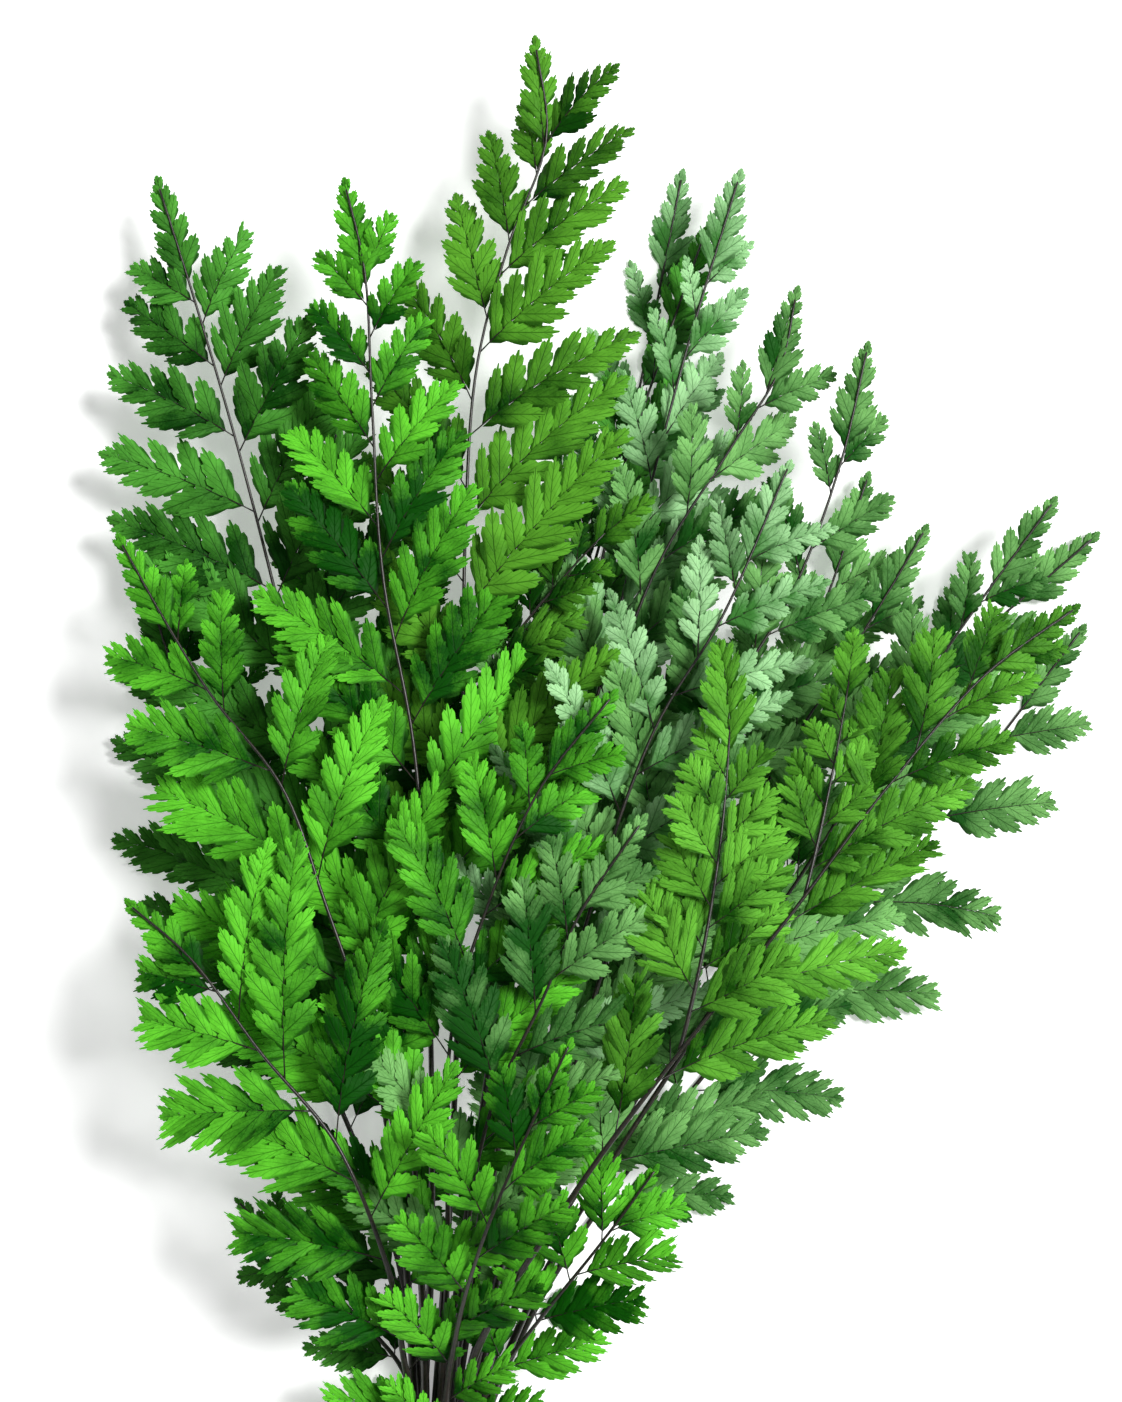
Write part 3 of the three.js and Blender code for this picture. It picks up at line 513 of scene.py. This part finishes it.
def leaf_material(name, dark, light, glow, through=0.22):
    """dark and light are the ends of the leaf's own colour, glow is the colour of the light through it."""
    mat = bpy.data.materials.new(name)
    mat.use_nodes = True
    tree = mat.node_tree
    link = tree.links.new
    skin = tree.nodes["Principled BSDF"]
    out = tree.nodes["Material Output"]
    place = node(tree, "ShaderNodeUVMap", uv_map="Lobe")
    split = tree.nodes.new("ShaderNodeSeparateXYZ")
    link(place.outputs[0], split.inputs[0])
    u, v = split.outputs[0], split.outputs[1]
    side = maths(tree, "ABSOLUTE", maths(tree, "SUBTRACT", v, 0.5))
    vein = maths(tree, "SUBTRACT", 1.0, maths(tree, "DIVIDE", side, 0.035, clamp=True))
    ribs = maths(tree, "MULTIPLY", maths(tree, "SUBTRACT", u, maths(tree, "MULTIPLY", side, 0.9)), 4.5)
    rib = maths(tree, "ABSOLUTE", maths(tree, "SUBTRACT", maths(tree, "FRACT", ribs), 0.5))
    rib = maths(tree, "SUBTRACT", 1.0, maths(tree, "DIVIDE", rib, 0.09, clamp=True))
    lines = maths(tree, "MAXIMUM", vein, maths(tree, "MULTIPLY", rib, 0.55))
    coordinates = tree.nodes.new("ShaderNodeTexCoord")
    blotch = node(tree, "ShaderNodeTexNoise", Scale=60.0, Detail=3.0)
    link(coordinates.outputs["Object"], blotch.inputs["Vector"])
    grain = node(tree, "ShaderNodeTexNoise", Scale=1400.0, Detail=2.0)
    link(coordinates.outputs["Object"], grain.inputs["Vector"])
    tint = node(tree, "ShaderNodeAttribute", attribute_name="tint")
    patches = maths(tree, "MULTIPLY", maths(tree, "SUBTRACT", blotch.outputs["Fac"], 0.5), 1.3)
    shade = maths(tree, "ADD", tint.outputs["Fac"], patches)
    grains = maths(tree, "MULTIPLY", maths(tree, "SUBTRACT", grain.outputs["Fac"], 0.5), 0.3)
    shade = maths(tree, "ADD", shade, grains)
    # Painted shade: the lobe is darker at its foot by the vein and lighter towards its tip.
    shade = maths(tree, "ADD", shade, maths(tree, "MULTIPLY", u, 0.25), clamp=True)
    ramp = tree.nodes.new("ShaderNodeValToRGB")
    ramp.color_ramp.elements[0].color = (*dark, 1)
    ramp.color_ramp.elements[1].color = (*light, 1)
    ramp.color_ramp.elements[0].position = 0.28
    ramp.color_ramp.elements[1].position = 1.0
    link(shade, ramp.inputs[0])
    # Painted shadow: each lobe is darkened along its rear edge, where the next lobe's edge lies over it. The
    # band fades out between the middle of the lobe and its tip.
    painted_contact_shadow = maths(tree, "DIVIDE", maths(tree, "SUBTRACT", 0.2, v), 0.09, clamp=True)
    painted_shadow_fade = maths(tree, "MULTIPLY", maths(tree, "SUBTRACT", 0.95, u), 2.0, clamp=True)
    painted_contact_shadow = maths(tree, "MULTIPLY", painted_contact_shadow, painted_shadow_fade)
    lines = maths(tree, "MAXIMUM", lines, painted_contact_shadow)
    # The vein colour darkens the veins and the painted shadow alike.
    veins_and_painted_shadow = node(tree, "ShaderNodeMix", data_type="RGBA", blend_type="MULTIPLY")
    veins_and_painted_shadow.inputs[7].default_value = (0.06, 0.16, 0.05, 1)
    link(maths(tree, "MULTIPLY", lines, 0.8), veins_and_painted_shadow.inputs[0])
    link(ramp.outputs[0], veins_and_painted_shadow.inputs[6])
    link(veins_and_painted_shadow.outputs[2], skin.inputs["Base Color"])
    roughness = maths(tree, "ADD", 0.42, maths(tree, "MULTIPLY", grain.outputs["Fac"], 0.25))
    link(roughness, skin.inputs["Roughness"])
    skin.inputs["Specular IOR Level"].default_value = 0.09
    bump = node(tree, "ShaderNodeBump", Strength=0.5, Distance=0.0004)
    relief = maths(tree, "SUBTRACT", maths(tree, "MULTIPLY", grain.outputs["Fac"], 0.5), lines)
    link(relief, bump.inputs["Height"])
    link(bump.outputs[0], skin.inputs["Normal"])
    behind = node(tree, "ShaderNodeBsdfTranslucent", Color=(*glow, 1))
    both = node(tree, "ShaderNodeMixShader", Fac=through)
    link(skin.outputs[0], both.inputs[1])
    link(behind.outputs[0], both.inputs[2])
    link(both.outputs[0], out.inputs["Surface"])
    return mat


greens = {
    "fresh": leaf_material("leaf_fresh", (0.003, 0.07, 0.001), (0.15, 0.68, 0.035), (0.12, 0.6, 0.02)),
    "olive": leaf_material("leaf_olive", (0.008, 0.075, 0.001), (0.18, 0.6, 0.05), (0.14, 0.45, 0.02)),
    "moss": leaf_material("leaf_moss", (0.004, 0.055, 0.001), (0.13, 0.44, 0.03), (0.08, 0.38, 0.02)),
    # This darker green is partly painted shade. It goes on fronds lying low in the heap, where shade falls
    # between the leaves.
    "deep": leaf_material("leaf_deep", (0.003, 0.05, 0.001), (0.1, 0.42, 0.045), (0.06, 0.35, 0.02)),
    "soft": leaf_material("leaf_soft", (0.008, 0.085, 0.006), (0.24, 0.57, 0.16), (0.15, 0.5, 0.08)),
    "pale": leaf_material("leaf_pale", (0.05, 0.21, 0.035), (0.44, 0.8, 0.38), (0.25, 0.6, 0.2)),
}

# ---- Stem and cord materials ----
# Stipes and veins are dark brown, nearly black, with a dull gloss. The cord is rough pale jute.


def fibrous_material(name, scale, detail, dark, light, dark_until, roughness, strength):
    """Fine noise shades it from dark to light and roughens its surface."""
    mat = bpy.data.materials.new(name)
    mat.use_nodes = True
    tree = mat.node_tree
    link = tree.links.new
    skin = tree.nodes["Principled BSDF"]
    where = tree.nodes.new("ShaderNodeTexCoord")
    fibre = node(tree, "ShaderNodeTexNoise", Scale=scale, Detail=detail)
    link(where.outputs["Object"], fibre.inputs["Vector"])
    tone = tree.nodes.new("ShaderNodeValToRGB")
    tone.color_ramp.elements[0].color = (*dark, 1)
    tone.color_ramp.elements[1].color = (*light, 1)
    tone.color_ramp.elements[0].position = dark_until
    link(fibre.outputs["Fac"], tone.inputs[0])
    link(tone.outputs[0], skin.inputs["Base Color"])
    skin.inputs["Roughness"].default_value = roughness
    groove = node(tree, "ShaderNodeBump", Strength=strength, Distance=0.0003)
    link(fibre.outputs["Fac"], groove.inputs["Height"])
    link(groove.outputs[0], skin.inputs["Normal"])
    return mat


bark = fibrous_material("stem", 900.0, 3.0, (0.004, 0.005, 0.003), (0.035, 0.022, 0.012), 0.35, 0.38, 0.35)
jute = fibrous_material("jute", 2600.0, 4.0, (0.2, 0.12, 0.05), (0.6, 0.44, 0.25), 0.0, 0.85, 0.6)

# ---- The fronds ----
# Each frond is one grown piece. Its stems and its blades are two meshes, because they look different.
feet = {"fresh": 0.32, "olive": 0.45, "soft": 0.24}  # how full a leaf of that green is at its foot
other_foot = 0.15
for number, entry in enumerate(fronds):
    name, row, place, layer, bare, wide, roll, tone_name, breadth, route, left, right = entry
    foot = feet.get(tone_name, other_foot)
    growth = frond(number, row, place, layer, bare, wide, roll, foot, breadth, route, left, right)
    stems = mesh_object(f"{name}_stems", *joined(growth.tubes))
    stems.data.materials.append(bark)
    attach(stems, "root")
    blades = blade_object(f"{name}_blades", growth)
    blades.data.materials.append(greens[tone_name])
    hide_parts(f"frond_{name}")
    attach(blades, "root")

# ---- The tie ----
# Two-ply jute cord wound tightly six times round the stems near their cut ends, its two ends knotted on top
# and cut short. Nothing but its own tension holds it.
cord_turns = 6
cord_pitch = 1.5
cord_offset = 0.7
strand_radius = 0.42
strand_offset = 0.34
twist_length = 4.5
corner_stems = np.array([slot_of(row, place) for row, count in enumerate(rows) for place in (0, count - 1)])
round_about = np.linspace(0, 2 * math.pi, 721)
facing = np.column_stack([np.cos(round_about), np.sin(round_about)])
farthest = corner_stems[np.argmax(corner_stems @ facing.T, axis=0)]
outline = farthest + facing * (stem_radius + tie_clearance + cord_offset)
gone = np.concatenate([[0], np.cumsum(np.linalg.norm(np.diff(outline, axis=0), axis=1))])
wound = np.linspace(0.25, cord_turns + 0.25, 1100)
place_on = (wound % 1) * gone[-1]
winding = np.column_stack([
    np.interp(place_on, gone, outline[:, 0]),
    (wound - 0.25 - cord_turns / 2) * cord_pitch,
    np.interp(place_on, gone, outline[:, 1]),
])
knot_top = winding[-1, 2] + 1.6
looped = np.linspace(0.35, 2 * math.pi + 0.15, 90)
knot = 0.75 * np.column_stack([
    np.sin(looped) + 2 * np.sin(2 * looped),
    np.cos(looped) - 2 * np.cos(2 * looped),
    -1.2 * np.sin(3 * looped),
]) + (0, 0, knot_top)
tail_routes = [
    [winding[0], (2.5, winding[0, 1] + 1.5, knot_top - 0.5), (1.2, -1.6, knot_top + 0.6),
     (3.2, 4.5, knot_top - 0.3), (5.2, 9.5, knot_top - 1.6)],
    [winding[-1], (-2.5, winding[-1, 1] - 1.5, knot_top - 0.5), (-1.2, 1.4, knot_top + 0.7),
     (-3.4, -3.5, knot_top - 0.2), (-4.6, -8.0, knot_top - 2.0)],
]
tails = [curve_through(route, 60)[0] for route in tail_routes]


def cord(path):
    """Two strands twisted round a path: each at offset (cos a, sin a) in the plane square to it, with
    a = 2 pi s / twist length and s the distance gone."""
    ahead = unit(np.gradient(path, axis=0))
    side = unit(np.cross(ahead, (0.05, 1.0, 0.1)))
    above = np.cross(side, ahead)
    run = np.concatenate([[0], np.cumsum(np.linalg.norm(np.diff(path, axis=0), axis=1))])
    strands = []
    for start in (0.0, math.pi):
        angle = (start + 2 * math.pi * run / twist_length)[:, None]
        along = path + strand_offset * (np.cos(angle) * side + np.sin(angle) * above)
        strands.append(tube(along, np.full(len(along), strand_radius), 6))
    return strands


tie_vertices, tie_faces = joined([strand for path in (winding, knot, *tails) for strand in cord(path)])
tie_vertices[:, 2] = np.maximum(tie_vertices[:, 2], 0.05)
tie = mesh_object("tie_cord", tie_vertices, tie_faces)
tie.data.materials.append(jute)
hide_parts("stem_tie")
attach(tie, "root")

# ---- The surface, the light and the camera ----
# A white table under soft light from the upper right, looked at from straight above.
bpy.ops.mesh.primitive_plane_add(size=12)
table = bpy.context.object
table.name = "table"
white = bpy.data.materials.new("table_white")
white.use_nodes = True
paint = white.node_tree.nodes["Principled BSDF"].inputs
paint["Base Color"].default_value = (0.9, 0.9, 0.9, 1)
paint["Roughness"].default_value = 0.8
paint["Emission Color"].default_value = (1.0, 1.0, 1.0, 1)
paint["Emission Strength"].default_value = 0.35
table.data.materials.append(white)

world = bpy.data.worlds.new("room")
world.use_nodes = True
sky = world.node_tree.nodes["Background"].inputs
sky["Color"].default_value = (1.0, 1.0, 1.0, 1)
sky["Strength"].default_value = 0.32
bpy.context.scene.world = world

sun = bpy.data.objects.new("sun", bpy.data.lights.new("sun", "SUN"))
sun.data.energy = 4.0
sun.data.angle = math.radians(20)
sun.rotation_euler = (math.radians(-12), math.radians(34), 0)
bpy.context.scene.collection.objects.link(sun)

camera = bpy.data.objects.new("camera", bpy.data.cameras.new("camera"))
camera.data.lens = 90
camera.data.sensor_fit = "VERTICAL"
camera.data.sensor_height = 36
seen_high = 500.7  # millimetres from the bottom of the picture to its top, at the height of look_at
look_at = np.array([43.2, 285.4, 45.0])
stand_off = seen_high * camera.data.lens / camera.data.sensor_height
camera.location = (look_at + (0, 0, stand_off)) * mm + tie_at
camera.data.clip_end = 50
bpy.context.scene.collection.objects.link(camera)
bpy.context.scene.camera = camera
bpy.context.scene.view_settings.view_transform = "Standard"
